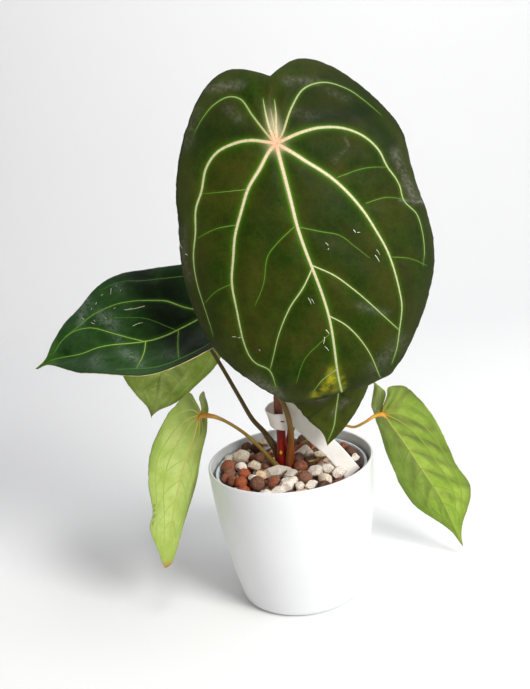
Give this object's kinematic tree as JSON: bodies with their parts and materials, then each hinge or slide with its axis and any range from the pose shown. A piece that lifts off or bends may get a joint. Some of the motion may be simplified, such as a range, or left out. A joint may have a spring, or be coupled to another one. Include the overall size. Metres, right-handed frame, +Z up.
{
  "type": "potted anthurium",
  "caption": "Large velvety heart-leaved anthurium on long curved stalks, growing in clay balls and pumice inside a nursery liner and a smooth white cover pot, with a looped plant label.",
  "frame": {"origin": "centre of the pot's underside, on the surface that the pot stands on", "axes": "+Z up; the front of the plant, where the large leaf shows its upper face, faces -Y; +X to its right"},
  "size_m": [0.4155, 0.2075, 0.5059],
  "materials": {
    "pot_plastic": "satin",
    "liner_plastic": "satin",
    "clay_and_pumice": "matte",
    "crown_tissue": "matte",
    "label_plastic": "satin",
    "leaf_velvet_dark": "matte",
    "leaf_gloss_dark": "satin",
    "leaf_underside_olive": "matte",
    "leaf_underside_bright": "satin",
    "leaf_underside_mid": "satin",
    "leaf_underside_small": "satin",
    "stalk_brown": "satin",
    "stalk_olive_brown": "satin",
    "stalk_golden": "satin",
    "stalk_crimson": "satin"
  },
  "bodies": {
    "root": {"cover_pot": "pot_plastic", "nursery_liner": "liner_plastic", "substrate": "clay_and_pumice", "crown": "crown_tissue", "plant_label": "label_plastic", "leaf_1": "leaf_velvet_dark", "leaf_2": "leaf_gloss_dark", "leaf_3": "leaf_underside_olive", "leaf_4": "leaf_underside_bright", "leaf_5": "leaf_underside_mid", "leaf_6": "leaf_underside_small", "petiole_1": "stalk_brown", "petiole_2": "stalk_olive_brown", "petiole_3": "stalk_olive_brown", "petiole_4": "stalk_golden", "petiole_5": "stalk_golden", "petiole_6": "stalk_crimson"}
  },
  "joints": []
}
